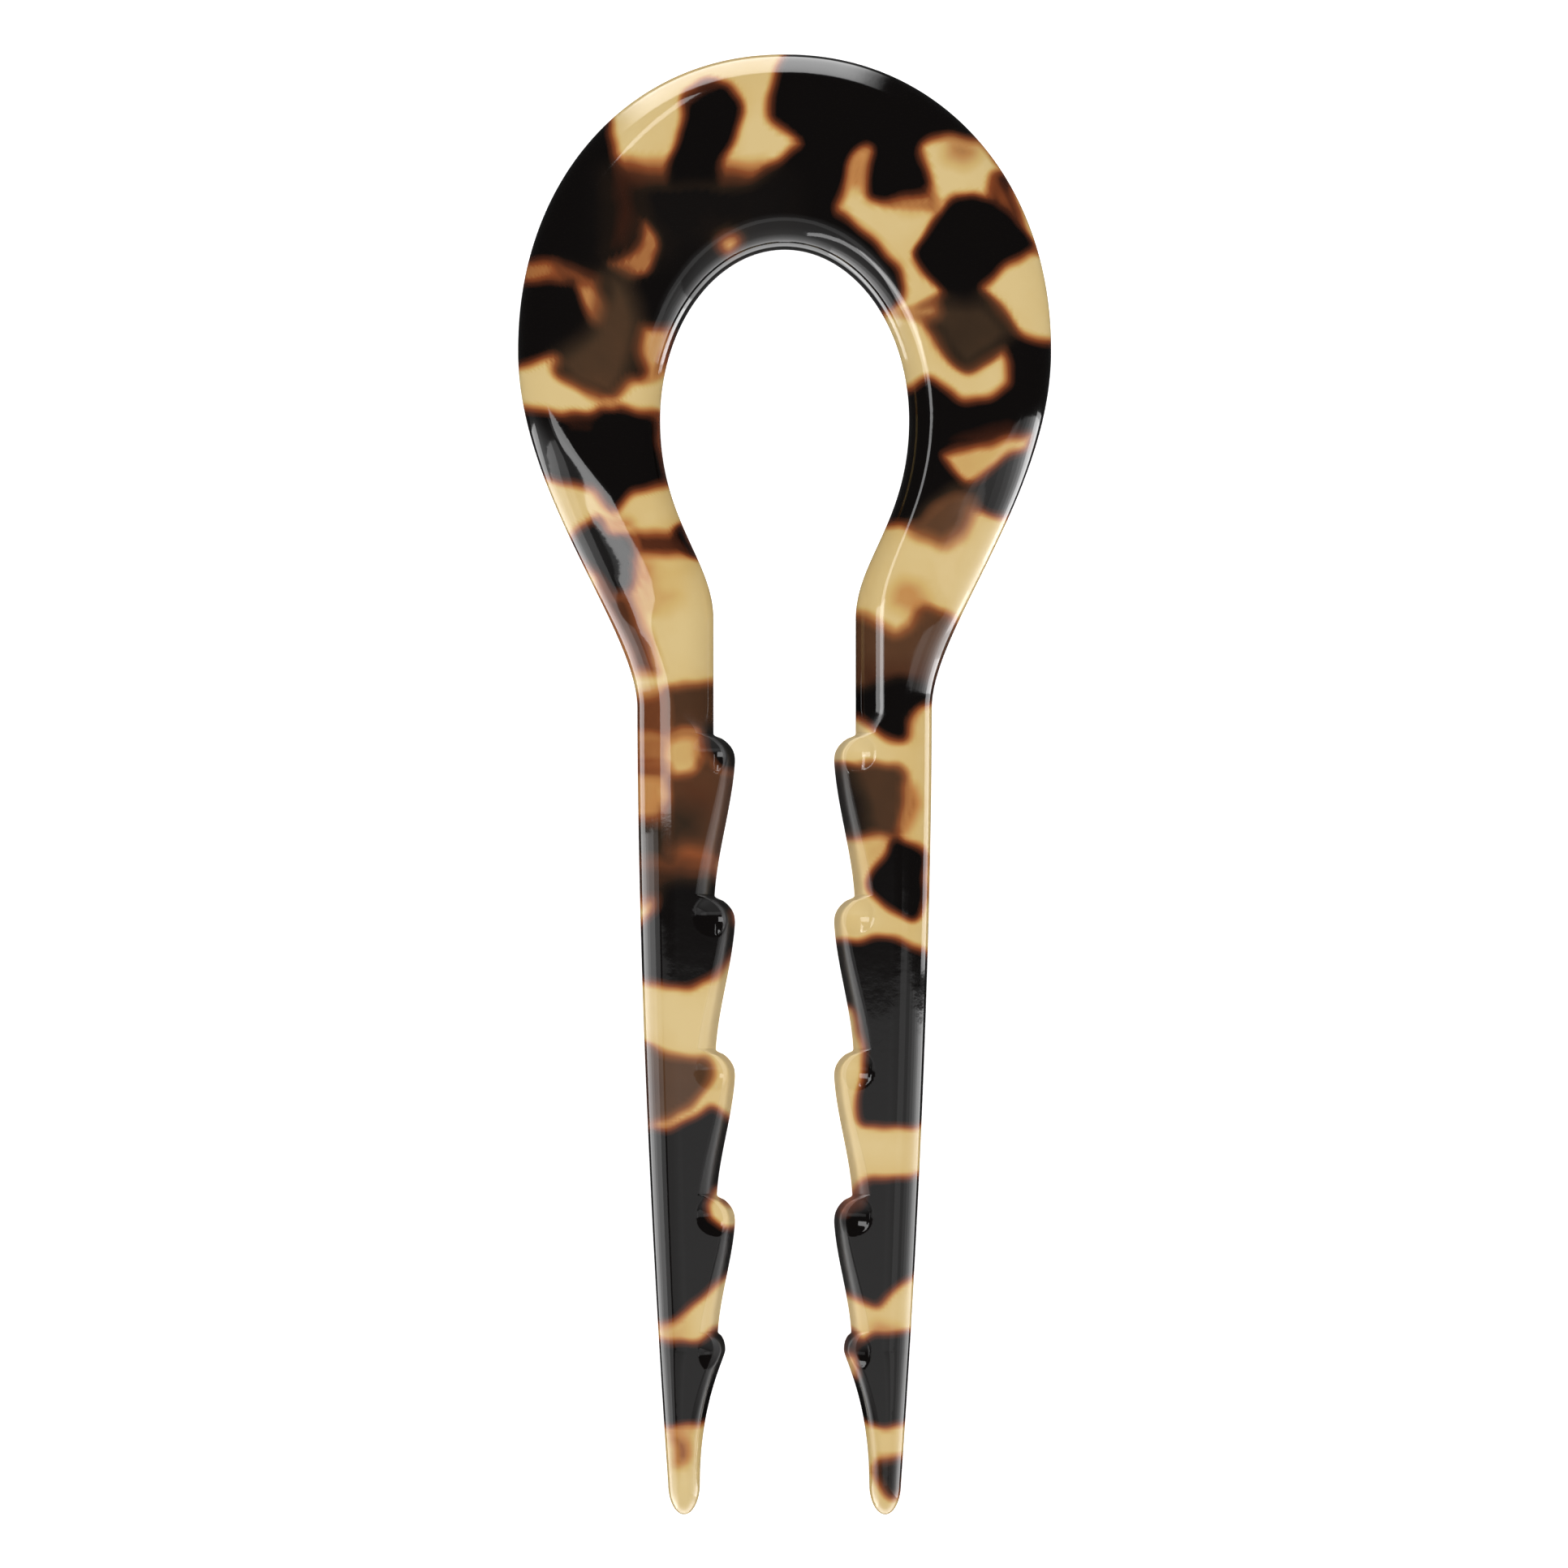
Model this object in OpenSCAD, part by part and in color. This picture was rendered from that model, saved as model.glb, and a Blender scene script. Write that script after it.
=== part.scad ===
// French hair pin: one piece of polished acetate, cut as a horseshoe with two barbed legs.
// It lies flat on its back. Z runs through the thickness, and +Y runs up to the crown of the head.
// Inside the functions, a distance down from the crown is called y_down, and a distance out from
// the middle line is called x_out, so the right half is worked out once and mirrored.

/* [Overall] */
// Length from the crown of the head to the tips of the legs
length = 115; // [105:1:135]
// Width of the head across its cheeks
head_w = 42; // [38:0.5:48]
// Thickness of the sheet, which the head and the neck keep
thick = 4.5; // [3.6:0.1:6]

/* [Head] */
// Width of the band at the crown
crown_w = 15.4; // [12:0.1:17]
// Distance from the crown down to the cheeks, where the head is widest
cheek_down = 23.4; // [21:0.1:26]
// Squareness of the head's outer curve: 2 is an ellipse
head_squareness = 2.1; // [1.9:0.05:2.5]
// Width of the eye, the round opening in the head
eye_w = 19.6; // [15:0.1:22]
// Distance from the crown down to the widest place of the eye
eye_down = 28.8; // [27:0.1:31]

/* [Neck] */
// Distance from the crown down to the throat, where the eye has closed to the gap
throat_down = 44.5; // [42:0.1:47]
// Distance from the crown down to the neck, where the legs begin
neck_down = 51.5; // [49:0.1:54]

/* [Legs] */
// Gap between the two legs at the neck
gap_w = 11.2; // [9:0.1:13]
// Gap between the two legs at the foot of the last barb
low_gap_w = 10.5; // [9:0.1:12]
// Width of each leg at the neck
leg_w = 6; // [5:0.1:7.5]
// How far the outer edge of each leg leans in by the tip
leg_lean = 2.6; // [1.5:0.1:2.8]
// Width of each tip where its round end begins
tip_w = 2.5; // [2:0.1:3.2]
// Thickness of each tip
tip_thick = 2.4; // [1.8:0.1:3.4]
// Length of the round end of each tip
tip_round = 2.4; // [1.5:0.1:3.5]

/* [Barbs] */
// Number of barbs on the inner edge of each leg
barb_count = 5; // [3:1:6]
// Distance from the neck down to the foot of the first barb
first_barb = 2; // [1:0.1:4]
// Distance from the foot of the last barb down to the tip
last_barb = 14.4; // [12:0.1:18]
// How much closer together the lower barbs stand: 0 spaces them evenly
barb_crowding = 0.11; // [0:0.01:0.25]
// Gap between the noses of two facing barbs
nose_gap_w = 7.8; // [6.4:0.1:8.2]
// Distance from the foot of a barb down to its nose
barb_rise = 2.2; // [1.6:0.1:3]
// How far the last barb reaches into the gap, as a share of the others
last_barb_share = 0.43; // [0.3:0.01:1]

/* [Edges] */
// Width of the rounding along the outer edge of the head
outer_edge = 3.6; // [2.4:0.1:4.2]
// Width of that rounding at the broadest place of the neck
neck_edge = 7; // [4:0.1:7.4]
// Width of that rounding at the top of the legs
leg_edge = 3; // [2:0.1:3.4]
// Width of the rounding along the inner edge, from the head to the first barb
inner_edge = 2.8; // [2:0.1:3.6]
// Width of the filed bevel at the nose of a barb
nose_bevel = 1; // [0.6:0.05:1.3]
// Width of the filed bevel at the foot of a barb
foot_bevel = 1.5; // [1:0.05:1.9]

/* [Scoops] */
// Radius of the round scoop on each face at the foot of a barb
scoop_r = 1.55; // [1.1:0.05:1.8]
// Depth of that scoop below the face
scoop_depth = 0.42; // [0.3:0.05:0.9]

/* [Hidden] */

// Steps along the pin, for half of it, and points across each rounding and each flat.
crown_steps = 18;
cheek_steps = 14;
slope_steps = 5;
tail_steps = 7;
tip_steps = 4;
edge_steps = 4;
flat_steps = 2;

// Bezier handles of the S-curves below the cheeks and below the eye, as shares of each curve's drop.
cheek_handle = 0.4;
neck_handle = 0.22;
eye_handle = 0.51;
throat_handle = 0.3;
// Share of the cheek's steps after which the inner edge has reached the throat.
throat_share = 0.69;
// The most of a section's width that its inner and its outer rounding may take up. They may overlap.
most_inner = 0.5;
most_outer = 0.86;
// Place and reach of the broad rounding at the neck, as shares of the cheek's curve.
neck_place = 0.44;
neck_reach = 0.22;
// Power of the curve along which a leg leans in and thins out towards its tip.
taper_power = 1.75;

// Rows through a barb's shoulder, as shares of the scoop's radius, counted down from the foot.
shoulder_rows = [-0.12, 0.1, 0.35, 0.65, 1, 1.4, 1.8, 2.15];
// Slope of the filed bevel where it leaves the face, as a share of its mean slope.
bevel_crease = 0.25;
// Roundness of the filed bevel towards the inner edge: higher turns down later.
bevel_power = 4;
// How the shoulder of a barb swells from its foot: the power of its curve and the share that is a fillet.
shoulder_power = 2.6;
fillet_share = 0.2;
// Slope of a barb's long side at both of its ends, as a share of its mean slope.
slope_end = 0.4;

mid_z = thick / 2;
leg_out = gap_w / 2 + leg_w;
leg_down = length - neck_down;
tip_down = length - tip_round;
first_root = neck_down + first_barb;
last_root = length - last_barb;

function mix(a, b, t) = a + (b - a) * t;
function limit(t) = max(0, min(1, t));
function ease(t) = limit(t) * limit(t) * (3 - 2 * limit(t));
function bezier(p0, p1, p2, p3, t) =
    pow(1 - t, 3) * p0 + 3 * pow(1 - t, 2) * t * p1 + 3 * (1 - t) * t * t * p2 + t * t * t * p3;

// Lean of a leg and loss of thickness, from 0 at the neck to 1 at the tip.
function taper(y_down) = pow(limit((y_down - neck_down) / leg_down), taper_power);
function half_thick(y_down) = mix(thick, tip_thick, taper(y_down)) / 2;

// The head: an outer superellipse round an elliptical eye, from the crown at 0 to the cheek at 1.
function crown_outer(t) = [
    head_w / 2 * pow(sin(90 * t), 2 / head_squareness),
    cheek_down * (1 - pow(cos(90 * t), 2 / head_squareness))
];
function crown_inner(t) = [
    eye_w / 2 * sin(90 * t),
    crown_w + (eye_down - crown_w) * (1 - cos(90 * t))
];

// The cheeks: two S-curves that bring the band in to the legs, from the cheek at 0 to the neck at 1.
cheek_drop = neck_down - cheek_down;
eye_drop = throat_down - eye_down;
function cheek_outer(t) = bezier(
    [head_w / 2, cheek_down],
    [head_w / 2, cheek_down + cheek_handle * cheek_drop],
    [leg_out, neck_down - neck_handle * cheek_drop],
    [leg_out, neck_down], t);
function cheek_inner(t) = t < throat_share
    ? bezier(
        [eye_w / 2, eye_down],
        [eye_w / 2, eye_down + eye_handle * eye_drop],
        [gap_w / 2, throat_down - throat_handle * eye_drop],
        [gap_w / 2, throat_down], t / throat_share)
    : [gap_w / 2, mix(throat_down, neck_down, (t - throat_share) / (1 - throat_share))];

// The barbs: where the foot of barb k lies, how far it reaches and how long its shoulder is.
function barb_root(k) =
    let (u = k / (barb_count - 1))
    mix(first_root, last_root, u + barb_crowding * u * (1 - u));
function last_share(k) = k < barb_count - 1 ? 1 : last_barb_share;
function rise(k) = barb_rise * sqrt(last_share(k));
function barb_above(y_down) =
    max([for (k = [0 : barb_count - 1]) if (y_down >= barb_root(k)) k]);
function foot_line(y_down) =
    mix(gap_w, low_gap_w, limit((y_down - first_root) / (last_root - first_root))) / 2;
function reach(k) = last_share(k) * (foot_line(barb_root(k)) - nose_gap_w / 2);
function nose_out(k) = foot_line(barb_root(k)) - reach(k);
function shoulder_shape(u) = (1 - pow(1 - limit(u), shoulder_power)) * ease(u / fillet_share);
function slope_shape(v) =
    slope_end * (2 * v * v * v - 3 * v * v + v) + v * v * (3 - 2 * v);

// The two edges of a leg.
function leg_outer(y_down) = leg_out - leg_lean * taper(y_down);
last_nose = last_root + rise(barb_count - 1);
last_nose_out = nose_out(barb_count - 1);
tip_in = leg_outer(tip_down) - tip_w;
function tail_inner(t) = bezier(
    [last_nose_out, last_nose],
    [last_nose_out, mix(last_nose, tip_down, 0.06)],
    [tip_in, mix(last_nose, tip_down, 0.38)],
    [tip_in, tip_down], t);
function slope_share(y_down, k) =
    limit((y_down - barb_root(k) - rise(k)) / (barb_root(k + 1) - barb_root(k) - rise(k)));
function barbed_inner(y_down) =
    y_down < barb_root(0) ? gap_w / 2 :
    let (k = barb_above(y_down), u = (y_down - barb_root(k)) / rise(k))
    u < 1 ? mix(foot_line(barb_root(k)), nose_out(k), shoulder_shape(u))
    : mix(nose_out(k), foot_line(barb_root(k + 1)), slope_shape(slope_share(y_down, k)));
function filed_share(y_down) = ease((y_down - neck_down) / first_barb);
function leg_bevel(y_down) =
    y_down < barb_root(0) ? mix(inner_edge, foot_bevel, filed_share(y_down)) :
    let (k = barb_above(y_down))
    k == barb_count - 1 ? nose_bevel : mix(nose_bevel, foot_bevel, slope_share(y_down, k));

// Width of the outer rounding along the cheek's curve and down a leg.
function cheek_round(t) =
    mix(outer_edge, leg_edge, t)
    + (neck_edge - mix(outer_edge, leg_edge, neck_place)) * exp(-pow((t - neck_place) / neck_reach, 4));
function leg_round(y_down) = leg_edge * (leg_outer(y_down) - foot_line(y_down)) / leg_w;

// A station is the place of one section: [inner point, outer point, half thickness, inner rounding,
// outer rounding, whether the inner rounding is a filed bevel].
function head_station(inner, outer, outer_round) =
    [inner, outer, thick / 2, inner_edge, outer_round, 0];
function leg_station(y_down) = [
    [barbed_inner(y_down), y_down], [leg_outer(y_down), y_down], half_thick(y_down),
    leg_bevel(y_down), leg_round(y_down), filed_share(y_down)
];
function tail_station(t) =
    let (inner = tail_inner(t))
    [inner, [leg_outer(inner[1]), inner[1]], half_thick(inner[1]),
     mix(nose_bevel, tip_w / 2, t), mix(leg_round(last_nose), tip_w / 2, t), 1 - ease(t)];
function tip_station(angle) =
    let (y_down = mix(tip_down, length, sin(angle)), half_w = tip_w / 2 * cos(angle),
         middle = tip_in + tip_w / 2)
    [[middle - half_w, y_down], [middle + half_w, y_down], half_thick(tip_down) * cos(angle),
     half_w, half_w, 0];

shoulder_end = shoulder_rows[len(shoulder_rows) - 1] * scoop_r;
function barb_rows(k) = concat(
    [for (share = shoulder_rows) barb_root(k) + share * scoop_r],
    k == barb_count - 1 ? [] :
    [for (i = [1 : slope_steps])
        mix(barb_root(k) + shoulder_end, barb_root(k + 1) + shoulder_rows[0] * scoop_r,
            i / (slope_steps + 1))]
);
leg_rows = [for (k = [0 : barb_count - 1]) each barb_rows(k)];
half_stations = concat(
    [for (i = [0 : crown_steps - 1])
        head_station(crown_inner(i / crown_steps), crown_outer(i / crown_steps), outer_edge)],
    [for (i = [0 : cheek_steps])
        let (t = i / cheek_steps) head_station(cheek_inner(t), cheek_outer(t), cheek_round(t))],
    [for (y_down = leg_rows) if (y_down < last_nose) leg_station(y_down)],
    [for (i = [0 : tail_steps - 1]) tail_station(i / tail_steps)],
    [for (i = [0 : tip_steps - 1]) tip_station(90 * i / tip_steps)]
);

// The scoops at the feet of the barbs: how far each round scoop lets the face rise at a point.
function scoop_limit(point, half_t, k) =
    let (away = norm(point - [foot_line(barb_root(k)), barb_root(k) + scoop_r]))
    half_t - scoop_depth * (1 - pow(min(1, away / scoop_r), 2));
function scooped(point, half_t) =
    min([for (k = [0 : barb_count - 1]) scoop_limit(point, half_t, k)]);

// Height of the face above the middle plane, at a share of the way across a rounding.
function round_height(share) = sqrt(1 - pow(1 - limit(share), 2));
function bevel_height(share) =
    let (v = 1 - limit(share)) 1 - bevel_crease * v - (1 - bevel_crease) * pow(v, bevel_power);

// Places across a section, from the inner edge to the outer one.
function across(width, inner_span, outer_span) = concat(
    [for (i = [0 : edge_steps - 1]) inner_span * (1 - cos(90 * i / edge_steps))],
    [for (i = [0 : flat_steps]) mix(inner_span, width - outer_span, i / flat_steps)],
    [for (i = [edge_steps - 1 : -1 : 0]) width - outer_span * (1 - cos(90 * i / edge_steps))]
);
function upper_edge(station) =
    let (inner = station[0], outer = station[1], half_t = station[2],
         width = norm(outer - inner),
         inner_round = min(station[3], most_inner * width),
         outer_round = min(station[4], most_outer * width))
    [for (place = across(width, inner_round, min(outer_round, width / 2)))
        let (point = mix(inner, outer, place / width),
             inner_height = mix(round_height(place / inner_round),
                                bevel_height(place / inner_round), station[5]),
             height = half_t * inner_height * round_height((width - place) / outer_round))
        [point[0], point[1], min(height, scooped(point, half_t))]];

// One closed section: its upper edge, then its mirror image below the middle plane, back again.
last_across = 2 * edge_steps + flat_steps;
ring_size = 2 * last_across;
function ring(station, side) =
    let (upper = upper_edge(station))
    [for (i = [0 : ring_size - 1])
        let (p = i <= last_across ? upper[i] : upper[ring_size - i])
        [side * p[0], length / 2 - p[1], mid_z + (i <= last_across ? p[2] : -p[2])]];

ring_count = 2 * len(half_stations) - 1;
rings = concat(
    [for (i = [len(half_stations) - 1 : -1 : 1]) ring(half_stations[i], -1)],
    [for (station = half_stations) ring(station, 1)]
);
tip_middle = tip_in + tip_w / 2;
tips = [for (side = [-1, 1]) [side * tip_middle, -length / 2, mid_z]];

function skin_faces() = concat(
    [for (r = [0 : ring_count - 2], i = [0 : ring_size - 1])
        let (a = r * ring_size + i, b = r * ring_size + (i + 1) % ring_size)
        each [[a, a + ring_size, b], [b, a + ring_size, b + ring_size]]],
    [for (i = [0 : ring_size - 1])
        [ring_count * ring_size, i, (i + 1) % ring_size]],
    [for (i = [0 : ring_size - 1])
        let (base = (ring_count - 1) * ring_size)
        [ring_count * ring_size + 1, base + (i + 1) % ring_size, base + i]]
);

module hair_pin() {
    color("saddlebrown")
        polyhedron(points = concat([for (r = rings) each r], tips), faces = skin_faces());
}

hair_pin();
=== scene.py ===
"""French hair pin of polished tortoiseshell acetate, lying on a pale table, seen from straight above."""
import math

import bmesh
import bpy
import numpy as np
from mathutils import Matrix, Vector


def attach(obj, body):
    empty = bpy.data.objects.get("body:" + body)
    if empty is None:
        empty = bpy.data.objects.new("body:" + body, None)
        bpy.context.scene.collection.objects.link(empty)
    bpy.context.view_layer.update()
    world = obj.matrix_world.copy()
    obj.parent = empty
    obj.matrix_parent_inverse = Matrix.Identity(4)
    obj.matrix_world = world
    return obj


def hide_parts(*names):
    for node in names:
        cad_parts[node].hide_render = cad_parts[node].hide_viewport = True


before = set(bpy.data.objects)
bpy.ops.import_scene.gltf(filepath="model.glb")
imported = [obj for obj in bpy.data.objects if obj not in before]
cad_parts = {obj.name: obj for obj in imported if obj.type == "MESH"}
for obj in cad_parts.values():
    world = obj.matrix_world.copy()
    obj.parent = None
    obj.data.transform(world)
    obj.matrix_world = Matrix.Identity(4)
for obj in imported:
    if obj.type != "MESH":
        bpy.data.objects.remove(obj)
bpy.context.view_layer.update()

MM = 0.001

# Sizes in millimetres, the same as those of the solid.
LENGTH = 115.0
HEAD_W = 42.0
THICK = 4.5
CROWN_W = 15.4
CHEEK_DOWN = 23.4
HEAD_SQUARENESS = 2.1
EYE_W = 19.6
EYE_DOWN = 28.8
THROAT_DOWN = 44.5
NECK_DOWN = 51.5
GAP_W = 11.2
LOW_GAP_W = 10.5
LEG_W = 6.0
LEG_LEAN = 2.6
TIP_W = 2.5
TIP_THICK = 2.4
TIP_ROUND = 2.4
BARB_COUNT = 5
FIRST_BARB = 2.0
LAST_BARB = 14.4
BARB_CROWDING = 0.11
NOSE_GAP_W = 7.8
BARB_RISE = 2.2
LAST_BARB_SHARE = 0.43
OUTER_EDGE = 3.6
NECK_EDGE = 7.0
LEG_EDGE = 3.0
INNER_EDGE = 2.8
NOSE_BEVEL = 1.0
FOOT_BEVEL = 1.5
SCOOP_R = 1.55
SCOOP_DEPTH = 0.42

# Shares that shape the curves, the same as those of the solid.
CHEEK_HANDLE = 0.4
NECK_HANDLE = 0.22
EYE_HANDLE = 0.51
THROAT_HANDLE = 0.3
THROAT_SHARE = 0.69
MOST_INNER = 0.5
MOST_OUTER = 0.86
NECK_PLACE = 0.44
NECK_REACH = 0.22
NECK_POWER = 4
TAPER_POWER = 1.75
BEVEL_CREASE = 0.25
BEVEL_POWER = 4.0
SHOULDER_POWER = 2.6
FILLET_SHARE = 0.2
SLOPE_END = 0.4
TAIL_START_HANDLE = 0.06
TAIL_END_HANDLE = 0.38

# Fineness of the mesh: steps for half the pin, points across a section, row spacing on a leg and
# round a barb, and how near two points are joined.
CROWN_STEPS = 130
CHEEK_STEPS = 130
INNER_STEPS = 12
FLAT_STEPS = 20
OUTER_STEPS = 14
TAIL_STEPS = 40
TIP_STEPS = 14
LEG_ROW = 0.27
BARB_ROW = 0.11
BARB_MARGIN = 0.7
SAME_POINT = 0.002

# Width over which the matt finish of a filed strip ends.
FILED_BLEND = 0.12

MID_Z = THICK / 2
LEG_OUT = GAP_W / 2 + LEG_W
TIP_DOWN = LENGTH - TIP_ROUND
FIRST_ROOT = NECK_DOWN + FIRST_BARB
LAST_ROOT = LENGTH - LAST_BARB


def mix(a, b, t):
    return a + (b - a) * t


def limit(t):
    return min(1.0, max(0.0, t))


def ease(t):
    t = limit(t)
    return t * t * (3 - 2 * t)


def bezier(p0, p1, p2, p3, t):
    s = 1 - t
    weights = (s ** 3, 3 * s * s * t, 3 * s * t * t, t ** 3)
    return tuple(sum(w * p[i] for w, p in zip(weights, (p0, p1, p2, p3))) for i in (0, 1))


def taper(y_down):
    return limit((y_down - NECK_DOWN) / (LENGTH - NECK_DOWN)) ** TAPER_POWER


def half_thick(y_down):
    return mix(THICK, TIP_THICK, taper(y_down)) / 2


def crown_outer(t):
    power = 2 / HEAD_SQUARENESS
    angle = math.pi / 2 * t
    return (HEAD_W / 2 * math.sin(angle) ** power,
            CHEEK_DOWN * (1 - max(0.0, math.cos(angle)) ** power))


def crown_inner(t):
    angle = math.pi / 2 * t
    return (EYE_W / 2 * math.sin(angle), mix(CROWN_W, EYE_DOWN, 1 - math.cos(angle)))


def cheek_outer(t):
    drop = NECK_DOWN - CHEEK_DOWN
    return bezier((HEAD_W / 2, CHEEK_DOWN), (HEAD_W / 2, CHEEK_DOWN + CHEEK_HANDLE * drop),
                  (LEG_OUT, NECK_DOWN - NECK_HANDLE * drop), (LEG_OUT, NECK_DOWN), t)


def cheek_inner(t):
    if t >= THROAT_SHARE:
        return GAP_W / 2, mix(THROAT_DOWN, NECK_DOWN, (t - THROAT_SHARE) / (1 - THROAT_SHARE))
    drop = THROAT_DOWN - EYE_DOWN
    return bezier((EYE_W / 2, EYE_DOWN), (EYE_W / 2, EYE_DOWN + EYE_HANDLE * drop),
                  (GAP_W / 2, THROAT_DOWN - THROAT_HANDLE * drop), (GAP_W / 2, THROAT_DOWN),
                  t / THROAT_SHARE)


def barb_root(k):
    u = k / (BARB_COUNT - 1)
    return mix(FIRST_ROOT, LAST_ROOT, u + BARB_CROWDING * u * (1 - u))


ROOTS = [barb_root(k) for k in range(BARB_COUNT)]


def last_share(k):
    return 1.0 if k < BARB_COUNT - 1 else LAST_BARB_SHARE


def rise(k):
    return BARB_RISE * math.sqrt(last_share(k))


def foot_line(y_down):
    return mix(GAP_W, LOW_GAP_W, limit((y_down - FIRST_ROOT) / (LAST_ROOT - FIRST_ROOT))) / 2


def nose_out(k):
    foot = foot_line(ROOTS[k])
    return foot - last_share(k) * (foot - NOSE_GAP_W / 2)


def shoulder_shape(u):
    return (1 - (1 - limit(u)) ** SHOULDER_POWER) * ease(u / FILLET_SHARE)


def slope_shape(v):
    return SLOPE_END * (2 * v ** 3 - 3 * v * v + v) + v * v * (3 - 2 * v)


def slope_share(y_down, k):
    nose = ROOTS[k] + rise(k)
    return limit((y_down - nose) / (ROOTS[k + 1] - nose))


def leg_outer(y_down):
    return LEG_OUT - LEG_LEAN * taper(y_down)


LAST_NOSE = LAST_ROOT + rise(BARB_COUNT - 1)
TIP_IN = leg_outer(TIP_DOWN) - TIP_W


def tail_inner(t):
    nose = nose_out(BARB_COUNT - 1)
    return bezier((nose, LAST_NOSE), (nose, mix(LAST_NOSE, TIP_DOWN, TAIL_START_HANDLE)),
                  (TIP_IN, mix(LAST_NOSE, TIP_DOWN, TAIL_END_HANDLE)), (TIP_IN, TIP_DOWN), t)


def barb_above(y_down):
    return max(k for k in range(BARB_COUNT) if y_down >= ROOTS[k])


def barbed_inner(y_down):
    if y_down < ROOTS[0]:
        return GAP_W / 2
    k = barb_above(y_down)
    u = (y_down - ROOTS[k]) / rise(k)
    if u < 1:
        return mix(foot_line(ROOTS[k]), nose_out(k), shoulder_shape(u))
    return mix(nose_out(k), foot_line(ROOTS[k + 1]), slope_shape(slope_share(y_down, k)))


def filed_share(y_down):
    return ease((y_down - NECK_DOWN) / FIRST_BARB)


def leg_bevel(y_down):
    if y_down < ROOTS[0]:
        return mix(INNER_EDGE, FOOT_BEVEL, filed_share(y_down))
    k = barb_above(y_down)
    if k == BARB_COUNT - 1:
        return NOSE_BEVEL
    return mix(NOSE_BEVEL, FOOT_BEVEL, slope_share(y_down, k))


def cheek_round(t):
    swell = NECK_EDGE - mix(OUTER_EDGE, LEG_EDGE, NECK_PLACE)
    return mix(OUTER_EDGE, LEG_EDGE, t) + swell * math.exp(-((t - NECK_PLACE) / NECK_REACH) ** NECK_POWER)


def leg_round(y_down):
    return LEG_EDGE * (leg_outer(y_down) - foot_line(y_down)) / LEG_W


# A station is one section: inner point, outer point, half thickness, inner rounding, outer
# rounding, and how far the inner rounding is a filed bevel.
def head_station(inner, outer, outer_round):
    return inner, outer, THICK / 2, INNER_EDGE, outer_round, 0.0


def leg_station(y_down):
    return ((barbed_inner(y_down), y_down), (leg_outer(y_down), y_down), half_thick(y_down),
            leg_bevel(y_down), leg_round(y_down), filed_share(y_down))


def tail_station(t):
    inner = tail_inner(t)
    return (inner, (leg_outer(inner[1]), inner[1]), half_thick(inner[1]),
            mix(NOSE_BEVEL, TIP_W / 2, t), mix(leg_round(LAST_NOSE), TIP_W / 2, t), 1 - ease(t))


def tip_station(share):
    angle = math.pi / 2 * share
    half_w = TIP_W / 2 * math.cos(angle)
    middle = TIP_IN + TIP_W / 2
    y_down = mix(TIP_DOWN, LENGTH, math.sin(angle))
    return ((middle - half_w, y_down), (middle + half_w, y_down),
            half_thick(TIP_DOWN) * math.cos(angle), half_w, half_w, 0.0)


def leg_rows():
    rows = list(np.arange(NECK_DOWN + LEG_ROW, LAST_NOSE, LEG_ROW))
    for k, root in enumerate(ROOTS):
        start, end = root - BARB_MARGIN, min(root + rise(k) + 2 * BARB_MARGIN, LAST_NOSE)
        rows = [y for y in rows if not start - BARB_ROW < y < end + BARB_ROW]
        rows += list(np.arange(start, end, BARB_ROW))
    return sorted(rows)


def half_stations():
    crown = [i / CROWN_STEPS for i in range(CROWN_STEPS)]
    cheek = [i / CHEEK_STEPS for i in range(CHEEK_STEPS + 1)]
    stations = [head_station(crown_inner(t), crown_outer(t), OUTER_EDGE) for t in crown]
    stations += [head_station(cheek_inner(t), cheek_outer(t), cheek_round(t)) for t in cheek]
    stations += [leg_station(y) for y in leg_rows()]
    stations += [tail_station(i / TAIL_STEPS) for i in range(TAIL_STEPS)]
    stations += [tip_station(i / TIP_STEPS) for i in range(TIP_STEPS)]
    return stations


def scooped(x_out, y_down, half_t):
    """How far the round scoops at the feet of the barbs let the face rise."""
    top = np.full_like(x_out, half_t)
    for root in ROOTS:
        away = np.hypot(x_out - foot_line(root), y_down - root - SCOOP_R)
        drop = SCOOP_DEPTH * (1 - np.minimum(away / SCOOP_R, 1) ** 2)
        top = np.minimum(top, half_t - drop)
    return top


def round_height(share):
    return np.sqrt(np.maximum(0.0, 1 - (1 - np.clip(share, 0, 1)) ** 2))


def bevel_height(share):
    v = 1 - np.clip(share, 0, 1)
    return 1 - BEVEL_CREASE * v - (1 - BEVEL_CREASE) * v ** BEVEL_POWER


def upper_edge(station):
    """Points of one section's front side from the inner edge out, and how far each is filed matt."""
    inner, outer, half_t, inner_round, outer_round, filed = station
    inner, outer = np.array(inner), np.array(outer)
    width = np.linalg.norm(outer - inner)
    inner_round = min(inner_round, MOST_INNER * width)
    outer_round = min(outer_round, MOST_OUTER * width)
    outer_span = min(outer_round, width / 2)
    into = inner_round * (1 - np.cos(np.linspace(0, np.pi / 2, INNER_STEPS + 1)))[:-1]
    flat = np.linspace(inner_round, width - outer_span, FLAT_STEPS + 1)
    out_of = width - outer_span * (1 - np.cos(np.linspace(np.pi / 2, 0, OUTER_STEPS + 1)))[1:]
    place = np.concatenate([into, flat, out_of])
    share = place / inner_round
    inner_height = (1 - filed) * round_height(share) + filed * bevel_height(share)
    height = half_t * inner_height * round_height((width - place) / outer_round)
    points = inner + (outer - inner) * (place / width)[:, None]
    height = np.minimum(height, scooped(points[:, 0], points[:, 1], half_t))
    matt = filed * np.clip((inner_round - place) / FILED_BLEND, 0, 1)
    return np.column_stack([points, height, matt])


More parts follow.
